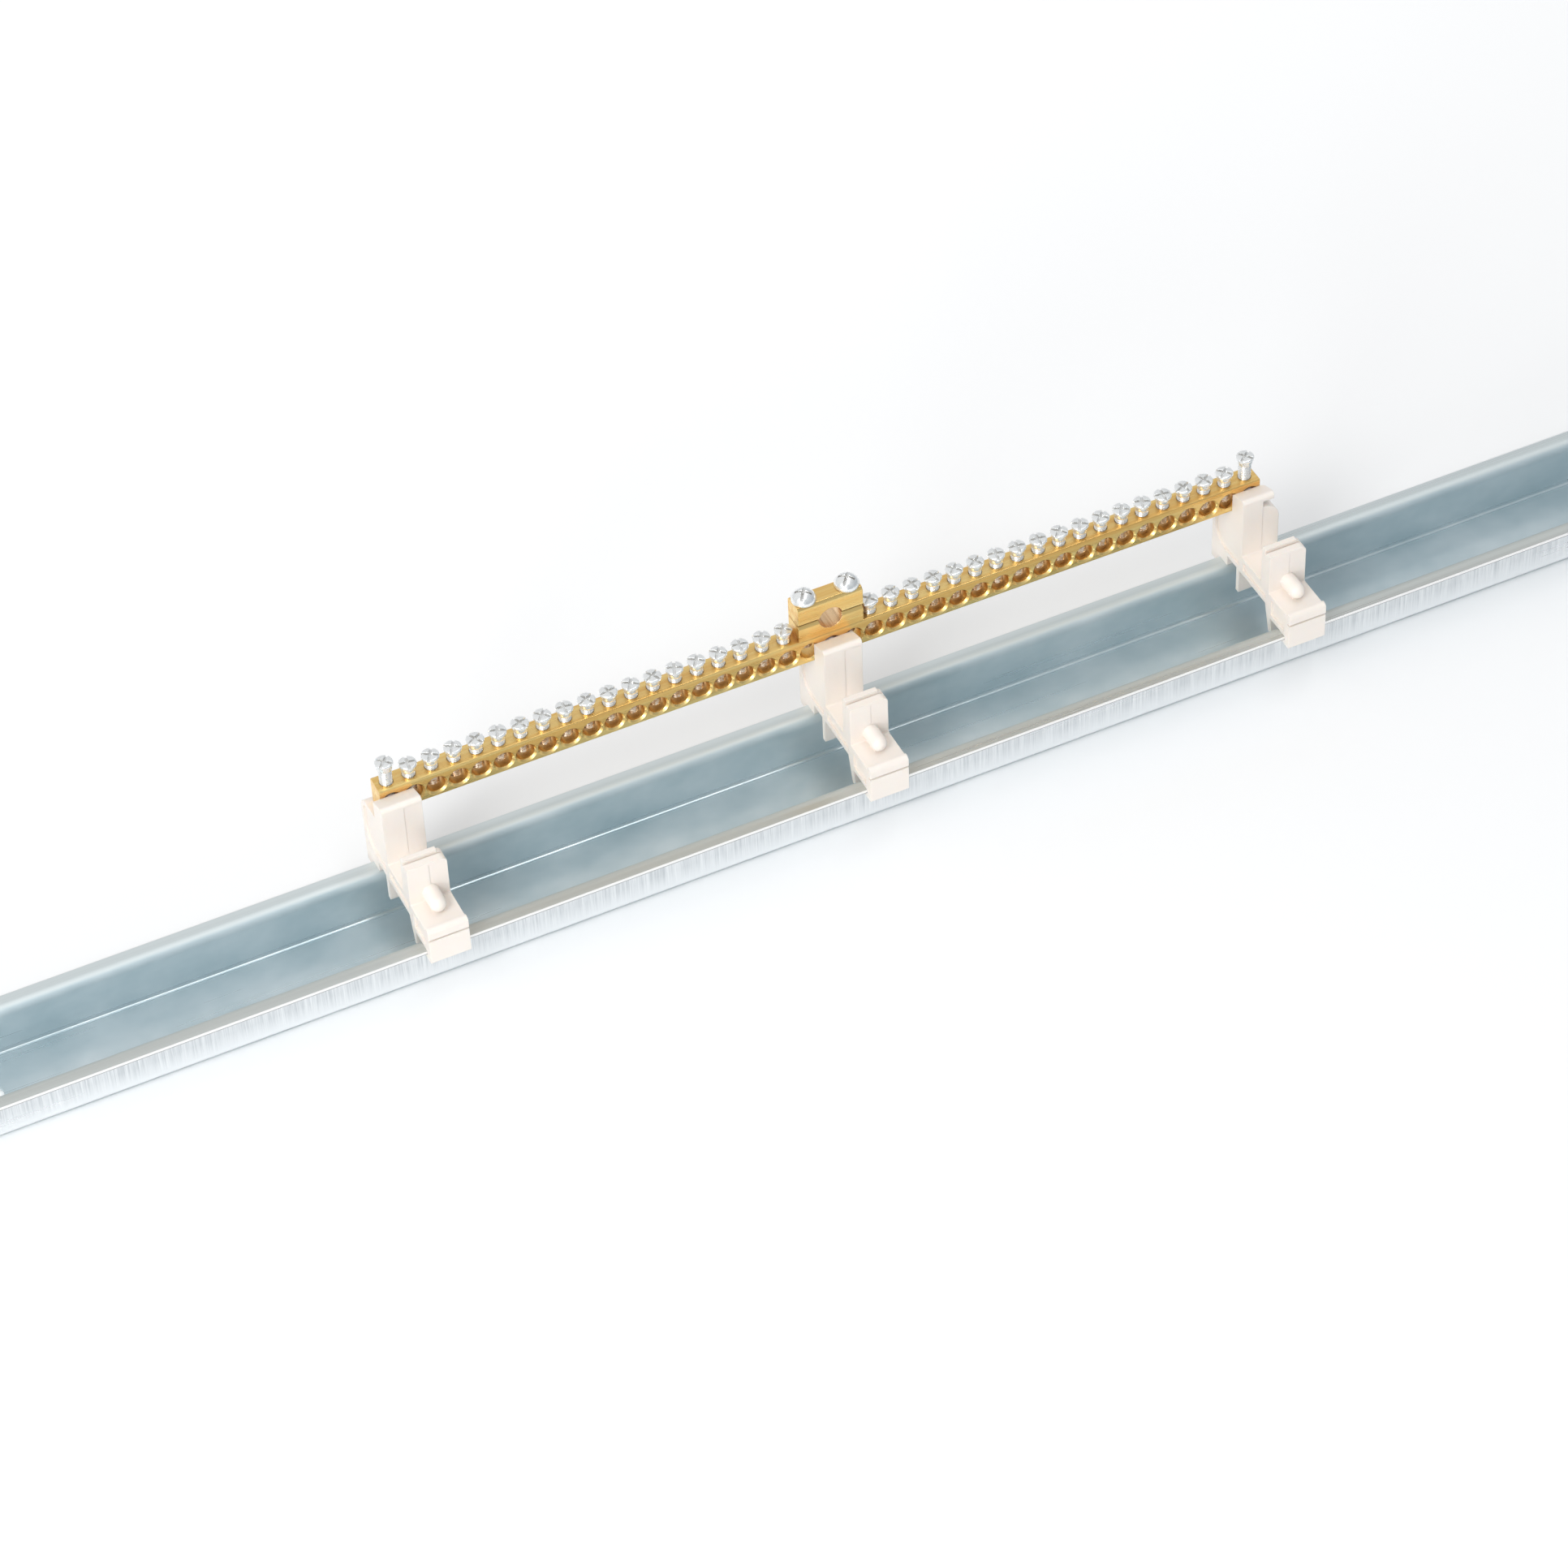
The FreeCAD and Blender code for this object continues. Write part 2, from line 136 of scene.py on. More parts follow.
def new_material(name):
    """A material with only its output and its main surface shader."""
    material = bpy.data.materials.new(name)
    material.use_nodes = True
    tree = material.node_tree
    tree.nodes.clear()
    output = tree.nodes.new("ShaderNodeOutputMaterial")
    surface = tree.nodes.new("ShaderNodeBsdfPrincipled")
    tree.links.new(surface.outputs["BSDF"], output.inputs["Surface"])
    return material, tree, surface


def add_node(tree, kind, **inputs):
    """A node of one kind, with values for its inputs by name (underscores stand for spaces)."""
    node = tree.nodes.new(kind)
    for name, value in inputs.items():
        node.inputs[name.replace("_", " ")].default_value = value
    return node


def vector_math(tree, operation, source, fixed=None):
    """One step of vector arithmetic, with a fixed second vector where the step takes one."""
    node = tree.nodes.new("ShaderNodeVectorMath")
    node.operation = operation
    tree.links.new(source, node.inputs[0])
    if fixed is not None:
        node.inputs[1].default_value = fixed
    return node


def coordinates(tree, place):
    """The sockets X, Y and Z of a place."""
    split = tree.nodes.new("ShaderNodeSeparateXYZ")
    tree.links.new(place, split.inputs["Vector"])
    return split.outputs


# %% [markdown]
# Metal and plastic are never one even tone. Noise in the object's own coordinates gives them life without
# any picture: where its stretch is small along one axis, its blobs turn into long lines. Its values gather
# round a half, so a narrow middle span of them is spread out to run from 0 to 1, and the narrower the span,
# the harder the contrast.

# %% Helpers for noise and spans
EVEN = (1.0, 1.0, 1.0)
SOFT_CONTRAST = (0.3, 0.7)
CLEAR_CONTRAST = (0.35, 0.65)
HARD_CONTRAST = (0.42, 0.58)


def stretched_noise(tree, stretch, scale, detail=4.0, roughness=0.55):
    """A noise value in the object's coordinates, long where the stretch is small."""
    place = tree.nodes.new("ShaderNodeTexCoord")
    mapping = add_node(tree, "ShaderNodeMapping", Scale=stretch)
    noise = add_node(tree, "ShaderNodeTexNoise", Scale=scale, Detail=detail, Roughness=roughness)
    tree.links.new(place.outputs["Object"], mapping.inputs["Vector"])
    tree.links.new(mapping.outputs["Vector"], noise.inputs["Vector"])
    return noise.outputs["Fac"]


def remap(tree, source, from_span, to_span):
    """Turns one span of a value into another, and holds it at the ends."""
    node = add_node(tree, "ShaderNodeMapRange", From_Min=from_span[0], From_Max=from_span[1],
                    To_Min=to_span[0], To_Max=to_span[1])
    tree.links.new(source, node.inputs["Value"])
    return node.outputs["Result"]


def rising(tree, source, span):
    """0 before the span, 1 after it."""
    return remap(tree, source, span, (0.0, 1.0))


def falling(tree, source, span):
    """1 before the span, 0 after it."""
    return remap(tree, source, span, (1.0, 0.0))


def metres(lengths):
    """Lengths in millimetres, as Blender measures them."""
    return [length * MM for length in lengths]


# %% [markdown]
# Tones are mixed in the same way everywhere: a value picks a place between two colours. The colours are
# either fixed or come from other nodes, and one helper takes both kinds. Narrow holes and corners also look
# darker and browner than open metal, since the light in them has bounced many times, and here that shade is
# painted into the colour. Ambient occlusion measures how much nearby surface each point sees, and that picks
# how much of the painted shade it gets.

# %% Helpers for colour
OCCLUSION_SAMPLES = 8
DEEP_TO_OPEN = (0.15, 0.6)


def mix_colours(tree, factor, first, second):
    """A colour between two, each given as a fixed (red, green, blue) or as another node's socket."""
    node = tree.nodes.new("ShaderNodeMix")
    node.data_type = "RGBA"
    for side, colour in (("A", first), ("B", second)):
        if isinstance(colour, tuple):
            node.inputs[side].default_value = (*colour, 1.0)
        else:
            tree.links.new(colour, node.inputs[side])
    tree.links.new(factor, node.inputs["Factor"])
    return node.outputs["Result"]


def paint_recess_shade(tree, colour, shade_colour, reach):
    """The colour, drifting to a painted shade in holes and corners narrower than the reach."""
    open_air = add_node(tree, "ShaderNodeAmbientOcclusion", Distance=reach * MM)
    open_air.samples = OCCLUSION_SAMPLES
    openness = rising(tree, open_air.outputs["AO"], DEEP_TO_OPEN)
    return mix_colours(tree, openness, shade_colour, colour)


# %% [markdown]
# No real edge is perfectly sharp, and a real surface has a slight relief. Both could be modelled, at the
# cost of very many faces. Here a bevel node rounds the edges in the shading only, and a bump node adds the
# relief on top.

# %% Helper for edges and relief
ROUNDING_SAMPLES = 4


def soft_edges(tree, surface, radius, relief, strength, depth):
    """Rounds the sharp edges in the shading, with a relief of some depth on top."""
    bevel = add_node(tree, "ShaderNodeBevel", Radius=radius * MM)
    bevel.samples = ROUNDING_SAMPLES
    bump = add_node(tree, "ShaderNodeBump", Strength=strength, Distance=depth * MM)
    tree.links.new(relief, bump.inputs["Height"])
    tree.links.new(bevel.outputs["Normal"], bump.inputs["Normal"])
    tree.links.new(bump.outputs["Normal"], surface.inputs["Normal"])


# %% [markdown]
# The main conductor goes into a bore between the two clamp blocks. Its wall is painted a browner tone than
# the faces round it, as painted shade in the bore. A separate piece of geometry could carry that tone, but a
# point's distance from the bore's axis tells the wall apart just as well, and the imported record gives the
# axis and the radius.

# %% Mask for the clamp's bore
BORE_BORDER = (0.02, 0.12)
ACROSS_THE_BORE = (1.0, 0.0, 1.0)

clamp_bore = next(mount for mount in frame["record"]["mounts"] if mount["name"] == "main_clamp_bore")
bore_radius = clamp_bore["dims"]["r_mm"]


def bore_wall(tree):
    """1 on the wall of the clamp's bore, 0 a little way outside it."""
    place = tree.nodes.new("ShaderNodeNewGeometry").outputs["Position"]
    offset = vector_math(tree, "SUBTRACT", place, clamp_bore["pos_m"])
    sideways = vector_math(tree, "MULTIPLY", offset.outputs["Vector"], ACROSS_THE_BORE)
    distance = vector_math(tree, "LENGTH", sideways.outputs["Vector"])
    border = [bore_radius + margin for margin in BORE_BORDER]
    return falling(tree, distance.outputs["Value"], metres(border))


print("bore radius, mm:", bore_radius)

# %% [markdown]
# The bar and the two clamp blocks are drawn brass, which keeps faint lines along its length. They could come
# from a picture of brushed metal, but noise has no seams and stays sharp up close. Fine lines change how
# sharp the reflections are and stand a few micrometres proud. A coarser noise gives the slow drift of tone
# that handled brass has, and a third one runs along the bore and streaks its wall.

# %% Brass
DRAWN_LINES = (6.0, 500.0, 500.0)
DRAWN_DRIFT = (10.0, 330.0, 330.0)
BORE_STREAKS = (400.0, 10.0, 400.0)
BRASS_DULL = (0.88, 0.54, 0.17)
BRASS_BRIGHT = (1.00, 0.75, 0.31)
# Painted shade in the wire holes and other recesses of the brass.
BRASS_PAINTED_SHADE = (0.56, 0.30, 0.13)
# Painted shade on the wall of the clamp's bore, in darker and lighter streaks.
BORE_SHADE_DARK = (0.58, 0.34, 0.17)
BORE_SHADE_LIGHT = (0.92, 0.66, 0.40)
BRASS_ROUGHNESS = (0.22, 0.38)
WIRE_HOLE_REACH = 4.0


def make_brass():
    """Drawn brass with fine lines along X, with painted shade in the holes and in the clamp's bore."""
    material, tree, surface = new_material("brass")
    lines = stretched_noise(tree, DRAWN_LINES, scale=2.6)
    drift = stretched_noise(tree, DRAWN_DRIFT, scale=1.6, detail=3.0)
    streaks = stretched_noise(tree, BORE_STREAKS, scale=1.6, detail=2.0)
    drawn = mix_colours(tree, rising(tree, drift, CLEAR_CONTRAST), BRASS_DULL, BRASS_BRIGHT)
    # Painted shade: the bore's wall gets a browner tone, streaked lighter and darker along the bore.
    bore_shade = mix_colours(tree, rising(tree, streaks, HARD_CONTRAST), BORE_SHADE_DARK, BORE_SHADE_LIGHT)
    tone = mix_colours(tree, bore_wall(tree), drawn, bore_shade)
    # Painted shade: the wire holes and other recesses drift to a darker, browner tone.
    tone = paint_recess_shade(tree, tone, BRASS_PAINTED_SHADE, WIRE_HOLE_REACH)
    tree.links.new(tone, surface.inputs["Base Color"])
    tree.links.new(remap(tree, lines, SOFT_CONTRAST, BRASS_ROUGHNESS), surface.inputs["Roughness"])
    surface.inputs["Metallic"].default_value = 1.0
    soft_edges(tree, surface, radius=0.18, relief=lines, strength=0.35, depth=0.03)
    return material


brass = make_brass()
print("nodes in the brass:", len(brass.node_tree.nodes))

# %% [markdown]
# The screws are plated with bright zinc: nearly white metal, with small blotches in the reflections from
# the plating bath. One flat grey would look like paint, so the blotches change both the tone and the gloss.
# The driver slots and the thread's valleys get a darker tone, which is painted shade together with dirt.
# Inside the bar the tips are painted brown, as painted shade and a painted reflection of the brass round
# them, and lighter blotches on them are painted highlights.

# %% Zinc
ZINC_DULL = (0.84, 0.86, 0.86)
ZINC_BRIGHT = (0.95, 0.96, 0.96)
# Painted shade, together with dirt, in the slots and the thread's valleys.
ZINC_SHADE_AND_DIRT = (0.64, 0.61, 0.57)
# Painted shade and brass reflection on the tips inside the bar, with lighter painted highlights.
TIP_PAINTED_SHADE = (0.62, 0.38, 0.20)
TIP_PAINTED_HIGHLIGHT = (0.93, 0.80, 0.66)
TIP_CONTRAST = (0.42, 0.60)
ZINC_ROUGHNESS = (0.20, 0.36)
SLOT_REACH = 2.0
# Span below the bar's top over which the painted tone of the tips fades in.
TIP_PAINT_BORDER = 1.0

bar_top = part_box("earth_bar")[1][2]


def inside_the_bar(tree):
    """1 below the top of the bar, where the screw tips get painted shade, reflection and highlights."""
    place = tree.nodes.new("ShaderNodeNewGeometry").outputs["Position"]
    return falling(tree, coordinates(tree, place)["Z"], (bar_top - TIP_PAINT_BORDER * MM, bar_top))


def make_zinc():
    """Bright zinc with fine blotches, with painted shade and dirt in the slots, and painted shade, reflection
    and highlights at the tips.
    """
    material, tree, surface = new_material("zinc_screw")
    blotches = stretched_noise(tree, EVEN, scale=900.0, detail=3.0)
    clean = mix_colours(tree, blotches, ZINC_DULL, ZINC_BRIGHT)
    # Painted shade, reflection and highlights on the tips inside the bar.
    tip_shade_and_highlights = mix_colours(tree, rising(tree, blotches, TIP_CONTRAST), TIP_PAINTED_SHADE, TIP_PAINTED_HIGHLIGHT)
    tone = mix_colours(tree, inside_the_bar(tree), clean, tip_shade_and_highlights)
    # Painted shade, with dirt, in the slots and the thread's valleys.
    tone = paint_recess_shade(tree, tone, ZINC_SHADE_AND_DIRT, SLOT_REACH)
    tree.links.new(tone, surface.inputs["Base Color"])
    tree.links.new(remap(tree, blotches, SOFT_CONTRAST, ZINC_ROUGHNESS), surface.inputs["Roughness"])
    surface.inputs["Metallic"].default_value = 0.78
    soft_edges(tree, surface, radius=0.06, relief=blotches, strength=0.25, depth=0.03)
    return material


zinc = make_zinc()
print("nodes in the zinc:", len(zinc.node_tree.nodes))

# %% [markdown]
# The rail was bent from zinc-coated strip by rollers, and they treat its faces differently: its outer sides
# are scored by the last pair, and the bends beside its base are burnished. The outer sides are also painted
# nearly white as painted light, and the sheared edges get a painted highlight over a line of painted shade.
# It could be split into several objects with a material each, but masks worked out from its own coordinates
# tell the faces apart on one untouched mesh. They need only the distance from the rail's middle line and
# the height.

# %% Coordinates across the rail


def product(tree, first, second):
    """Two values multiplied. Of two masks, that is 1 only where both are 1."""
    node = tree.nodes.new("ShaderNodeMath")
    node.operation = "MULTIPLY"
    tree.links.new(first, node.inputs[0])
    tree.links.new(second, node.inputs[1])
    return node.outputs["Value"]


def rail_coordinates(tree):
    """Sockets for the place across the rail, its distance from the middle, and the height."""
    place = coordinates(tree, tree.nodes.new("ShaderNodeTexCoord").outputs["Object"])
    distance = tree.nodes.new("ShaderNodeMath")
    distance.operation = "ABSOLUTE"
    tree.links.new(place["Y"], distance.inputs[0])
    return place["Y"], distance.outputs["Value"], place["Z"]


# %% [markdown]
# Each face of the rail now gets its mask. A hard border would show as a line, so every border is a short
# span, in millimetres, over which the mask fades.

# %% Masks for the faces of the rail
SIDE_BEGINS = (12.9, 13.3)
SIDE_TOP = (12.5, 13.5)
BASE_BEND_BEGINS = (11.3, 11.8)
BASE_BEND_ENDS = (12.6, 12.8)
BASE_BEND_TOP = (1.7, 2.2)
FLANGE_BEND_ENDS = (15.0, 15.8)
FLANGE_BEND_FOOT = (10.0, 13.0)
SHEARED_EDGE_BEGINS = (17.35, 17.45)


def outer_sides(tree, distance, height):
    """The two outer sides of the channel, below the flanges."""
    outwards = rising(tree, distance, metres(SIDE_BEGINS))
    return product(tree, outwards, falling(tree, height, metres(SIDE_TOP)))


def base_bends(tree, distance, height):
    """The two inner bends beside the rail's base."""
    outwards = rising(tree, distance, metres(BASE_BEND_BEGINS))
    inner_side = product(tree, outwards, falling(tree, distance, metres(BASE_BEND_ENDS)))
    return product(tree, inner_side, falling(tree, height, metres(BASE_BEND_TOP)))


def flange_bends(tree, distance, height):
    """The two upper bends, where the sides turn into the flanges."""
    inwards = falling(tree, distance, metres(FLANGE_BEND_ENDS))
    return product(tree, inwards, rising(tree, height, metres(FLANGE_BEND_FOOT)))


def sheared_edges(tree, distance):
    """The long edges of the strip, which get a painted highlight over a line of painted shade."""
    return rising(tree, distance, metres(SHEARED_EDGE_BEGINS))


# %% [markdown]
# On top, the flanges are a warmer grey on the wire side and a cooler one on the far side, with long rolling
# lines. Their sheared edges get a painted highlight above, with a thin line of painted shade below. The outer
# sides are painted nearly white as painted light, and carry scores that run up and down, so their noise is
# squeezed along the rail, and the scores fade out towards the floor.

# %% Colours of the flanges and the sides
RAIL_EDGES = (-17.5, 17.5)
FLANGE_DULL = ((0.53, 0.55, 0.53), (0.63, 0.69, 0.70))
FLANGE_BRIGHT = ((0.60, 0.63, 0.61), (0.70, 0.76, 0.77))
UPRIGHT_SCORES = (1800.0, 60.0, 40.0)
# Painted light: the nearly white tone of the rail's outer sides.
SIDE_PAINTED_LIGHT = (0.88, 0.90, 0.91)
SIDE_SCORED = (0.60, 0.63, 0.65)
SCORES_FADE_IN = (2.0, 7.0)
# Painted shade under the sheared edges, and a painted highlight on them.
EDGE_PAINTED_SHADE = (0.40, 0.41, 0.42)
EDGE_PAINTED_HIGHLIGHT = (0.96, 0.95, 0.94)
EDGE_SHADE_TOP = (14.15, 14.3)


def flange_colour(tree, across, rolled):
    """Warmer towards the wire side, with rolling lines. Each tone is a pair, near side and far side."""
    far_side = rising(tree, across, metres(RAIL_EDGES))
    dull = mix_colours(tree, far_side, *FLANGE_DULL)
    bright = mix_colours(tree, far_side, *FLANGE_BRIGHT)
    return mix_colours(tree, rising(tree, rolled, CLEAR_CONTRAST), dull, bright)


def side_light_and_scores(tree, height):
    """Painted nearly white as painted light, with darker upright scores."""
    scores = stretched_noise(tree, UPRIGHT_SCORES, scale=1.0, roughness=0.75)
    above_foot = rising(tree, height, metres(SCORES_FADE_IN))
    scored = product(tree, above_foot, falling(tree, scores, CLEAR_CONTRAST))
    return mix_colours(tree, scored, SIDE_PAINTED_LIGHT, SIDE_SCORED)


def edge_highlight_and_shade(tree, height):
    """The cut face of the strip: a painted highlight above a thin line of painted shade."""
    return mix_colours(tree, rising(tree, height, metres(EDGE_SHADE_TOP)), EDGE_PAINTED_SHADE, EDGE_PAINTED_HIGHLIGHT)


# %% [markdown]
# Inside the channel the zinc is a bluish grey with soft clouds. The masks lay the other colours over it,
# face by face, in the order in which they cover one another.

# %% Colour of the whole rail
SOFT_CLOUDS = (45.0, 60.0, 60.0)
CHANNEL_DULL = (0.50, 0.61, 0.65)
CHANNEL_BRIGHT = (0.67, 0.75, 0.78)
FLANGE_TOP_BEGINS = (14.2, 14.7)


def galvanised_colour(tree, across, distance, height, rolled):
    """The colour of each face of the rail, laid over that of the channel's inside."""
    clouds = stretched_noise(tree, SOFT_CLOUDS, scale=1.0, detail=3.0, roughness=0.6)
    inside = mix_colours(tree, rising(tree, clouds, SOFT_CONTRAST), CHANNEL_DULL, CHANNEL_BRIGHT)
    on_top = rising(tree, height, metres(FLANGE_TOP_BEGINS))
    tone = mix_colours(tree, on_top, inside, flange_colour(tree, across, rolled))
    # Painted light on the outer sides, with their scores.
    tone = mix_colours(tree, outer_sides(tree, distance, height), tone, side_light_and_scores(tree, height))
    # Painted highlight on the sheared edges, over a line of painted shade.
    return mix_colours(tree, sheared_edges(tree, distance), tone, edge_highlight_and_shade(tree, height))


# %% [markdown]
# The gloss differs from face to face too. Burnished bends are glossier than the rest and the stretched
# upper bends are duller, which is what draws the thin bright line along the base and leaves a broad soft
# one above.

# %% Galvanised steel
ROLLING_LINES = (2.0, 300.0, 180.0)
RAIL_ROUGHNESS = (0.26, 0.34)
BURNISHED_SHARE = 0.5
STRETCHED_SHARE = 1.8


def make_galvanised():
    """Rolled, zinc-coated strip, with a tone and a gloss for each of its faces."""
    material, tree, surface = new_material("galvanised_steel")
    across, distance, height = rail_coordinates(tree)
    rolled = stretched_noise(tree, ROLLING_LINES, scale=1.6, detail=3.0)
    colour = galvanised_colour(tree, across, distance, height, rolled)
    tree.links.new(colour, surface.inputs["Base Color"])
    roughness = remap(tree, rolled, SOFT_CONTRAST, RAIL_ROUGHNESS)
    for mask, share in ((base_bends, BURNISHED_SHARE), (flange_bends, STRETCHED_SHARE)):
        change = remap(tree, mask(tree, distance, height), (0.0, 1.0), (1.0, share))
        roughness = product(tree, roughness, change)
    tree.links.new(roughness, surface.inputs["Roughness"])
    surface.inputs["Metallic"].default_value = 0.65
    soft_edges(tree, surface, radius=0.12, relief=rolled, strength=0.03, depth=0.01)
    return material


galvanised = make_galvanised()
print("nodes in the galvanised steel:", len(galvanised.node_tree.nodes))

# %% [markdown]
# The three holders are moulded in cream plastic. Painted as a plain opaque colour they would look chalky,
# so a quarter of the light scatters inside them, red light the furthest, which softens their shadows. The
# mould leaves a fine, even grain.

# %% Plastic
CREAM_DULL = (0.87, 0.80, 0.73)
CREAM_BRIGHT = (0.90, 0.83, 0.77)
PLASTIC_ROUGHNESS = (0.36, 0.48)
SCATTERED_SHARE = 0.25
SCATTER_REACH = (1.5, 1.1, 0.8)


def make_plastic():
    """Cream plastic with a fine grain and a little light scattered inside."""
    material, tree, surface = new_material("cream_plastic")
    grain = stretched_noise(tree, EVEN, scale=2600.0, detail=3.0)
    drift = stretched_noise(tree, EVEN, scale=70.0, detail=2.0)
    tree.links.new(mix_colours(tree, drift, CREAM_DULL, CREAM_BRIGHT), surface.inputs["Base Color"])
    tree.links.new(remap(tree, grain, SOFT_CONTRAST, PLASTIC_ROUGHNESS), surface.inputs["Roughness"])
    surface.inputs["Subsurface Weight"].default_value = SCATTERED_SHARE
    surface.inputs["Subsurface Radius"].default_value = metres(SCATTER_REACH)
    surface.inputs["Subsurface Scale"].default_value = 1.0
    soft_edges(tree, surface, radius=0.15, relief=grain, strength=0.12, depth=0.02)
    return material


plastic = make_plastic()
print("nodes in the plastic:", len(plastic.node_tree.nodes))

# %% [markdown]
# Every CAD node arrives with one material slot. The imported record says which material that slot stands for,
# so the finish is looked up there rather than guessed from the node's name.

# %% Put the materials on the CAD nodes
FINISHES = {
    "brass": brass,
    "zinc_screw": zinc,
    "galvanised_steel": galvanised,
    "cream_plastic": plastic,
}

slot_of_node = {part["node"]: part["material_slot"] for part in frame["record"]["subparts"]}
for name, node in nodes.items():
    node.data.materials.clear()
    node.data.materials.append(FINISHES[slot_of_node[name]])
print("finishes used:", sorted(set(slot_of_node.values())))

# %% [markdown]
# A screw thread is a ridge that climbs as it goes round. A relief in the material could hint at it, but the
# shank's outline would stay straight, so it is real geometry. Seen as a grid of points round and along the
# shank, the radius at each point depends only on how far the point is along its own turn, so one formula
# makes the whole ridge: it rises with a steep slope, stays level at the crest, and falls again.

# %% The thread's outline
THREAD_DIAMETER = 3.46
THREAD_PITCH = 0.6
THREAD_DEPTH = 0.34
RIDGE_SLOPE = 3.2


def thread_radius(angle, height):
    """Radius of the thread at one angle and height: a trapezium-shaped ridge."""
    along = (height / THREAD_PITCH - angle / (2 * math.pi)) % 1.0
    ridge = min(1.0, RIDGE_SLOPE * (0.5 - abs(along - 0.5)))
    return THREAD_DIAMETER / 2 - THREAD_DEPTH * (1.0 - ridge)


# %% [markdown]
# The grid closes on itself after a full turn, because the ridge has then climbed by exactly one pitch. Two
# flat caps make it a closed body, and its last half millimetre tapers, as on a screw that has to find its
# hole.

# %% Threaded shank
THREAD_POINT = 0.5
THREAD_SIDES = 28
ROWS_PER_TURN = 6


def add_shank(mesh, top, length):
    """Adds a closed threaded shank that hangs down from the given height."""
    rows = int(round(length / THREAD_PITCH * ROWS_PER_TURN))
    rings = []
    for row in range(rows + 1):
        height = -length * row / rows
        taper = min(1.0, (length + height) / THREAD_POINT)
        widest = THREAD_DIAMETER / 2 - THREAD_POINT * (1 - taper)
        ring = []
        for side in range(THREAD_SIDES):
            angle = 2 * math.pi * side / THREAD_SIDES
            radius = min(thread_radius(angle, height), widest)
            point = (radius * math.cos(angle), radius * math.sin(angle), top + height)
            ring.append(mesh.verts.new(point))
        rings.append(ring)
    for upper, lower in zip(rings, rings[1:]):
        for side in range(THREAD_SIDES):
            following = (side + 1) % THREAD_SIDES
            mesh.faces.new((upper[side], lower[side], lower[following], upper[following]))
    mesh.faces.new(rings[0])
    mesh.faces.new(list(reversed(rings[-1])))


# %% [markdown]
# The head is turned, as on a lathe: a short profile, given as radius and height pairs, is swept round the
# axis. A round edge on the profile is a quarter circle of a few steps.

# %% Lathe
LATHE_SIDES = 48
ROUND_STEPS = 5


def add_lathe(mesh, profile):
    """Adds a closed turned body. The profile starts and ends on the axis, from the bottom up."""
    bottom = mesh.verts.new((0, 0, profile[0][1]))
    top = mesh.verts.new((0, 0, profile[-1][1]))
    angles = [2 * math.pi * side / LATHE_SIDES for side in range(LATHE_SIDES)]
    rings = []
    for radius, height in profile[1:-1]:
        ring = [(radius * math.cos(angle), radius * math.sin(angle), height) for angle in angles]
        rings.append([mesh.verts.new(point) for point in ring])
    for side in range(LATHE_SIDES):
        following = (side + 1) % LATHE_SIDES
        mesh.faces.new((bottom, rings[0][following], rings[0][side]))
        mesh.faces.new((top, rings[-1][side], rings[-1][following]))
        for lower, upper in zip(rings, rings[1:]):
            mesh.faces.new((lower[side], lower[following], upper[following], upper[side]))


def rounded_rim(radius, bottom, top, lower_round, upper_round):
    """Profile points of a rim with a quarter round at the bottom and another at the top."""
    quarter = [math.radians(90 * step / ROUND_STEPS) for step in range(ROUND_STEPS + 1)]
    points = []
    for a in quarter:
        inset = lower_round * (1 - math.sin(a))
        points.append((radius - inset, bottom + lower_round * (1 - math.cos(a))))
    for a in quarter:
        inset = upper_round * (1 - math.cos(a))
        points.append((radius - inset, top - upper_round * (1 - math.sin(a))))
    return points


# %% [markdown]
# The driver slots are milled in the real head. Drawing the slotted head face by face would be long and easy
# to get wrong, so a block is made for each slot, as long as the slot and a little higher than the head.

# %% Blocks to cut the slots with
CUTTER_RISE = 1.0


def object_from(mesh, name):
    """Turns a drawn mesh, in millimetres, into an object in metres."""
    bmesh.ops.scale(mesh, vec=(MM, MM, MM), verts=mesh.verts)
    bmesh.ops.recalc_face_normals(mesh, faces=mesh.faces)
    data = bpy.data.meshes.new(name)
    mesh.to_mesh(data)
    mesh.free()
    made = bpy.data.objects.new(name, data)
    bpy.context.scene.collection.objects.link(made)
    return made


def slot_cutter(name, half_length, width, bottom, head_top, turn_degrees):
    """A block across the head, from the slot's bottom to a little above the head's top."""
    height = head_top + CUTTER_RISE - bottom
    size = Matrix.Diagonal((2 * half_length, width, height, 1))
    lift = Matrix.Translation((0, 0, bottom + height / 2))
    turn = Matrix.Rotation(math.radians(turn_degrees), 4, "Z")
    mesh = bmesh.new()
    bmesh.ops.create_cube(mesh, size=1.0, matrix=turn @ lift @ size)
    return object_from(mesh, name)


# %% [markdown]
# The blocks are cut away one after the other, as a milling cutter would. The cut edges are then bevelled a
# little so that they catch the light, and the result is kept as a plain mesh.

# %% Slot cutting
BEVEL_STEPS = 2
BEVELLED_FROM = math.radians(40)


def cut_and_bevel(body, cutters, bevel):
    """Cuts the blocks out of the body one by one, bevels the sharp edges and keeps only the mesh."""
    for cutter in cutters:
        step = body.modifiers.new("cut", "BOOLEAN")
        step.operation = "DIFFERENCE"
        step.solver = "EXACT"
        step.object = cutter
    edge = body.modifiers.new("edge", "BEVEL")
    edge.width = bevel * MM
    edge.segments = BEVEL_STEPS
    edge.limit_method = "ANGLE"
    edge.angle_limit = BEVELLED_FROM
    graph = bpy.context.evaluated_depsgraph_get()
    data = bpy.data.meshes.new_from_object(body.evaluated_get(graph))
    for used in [*cutters, body]:
        bpy.data.objects.remove(used)
    return data


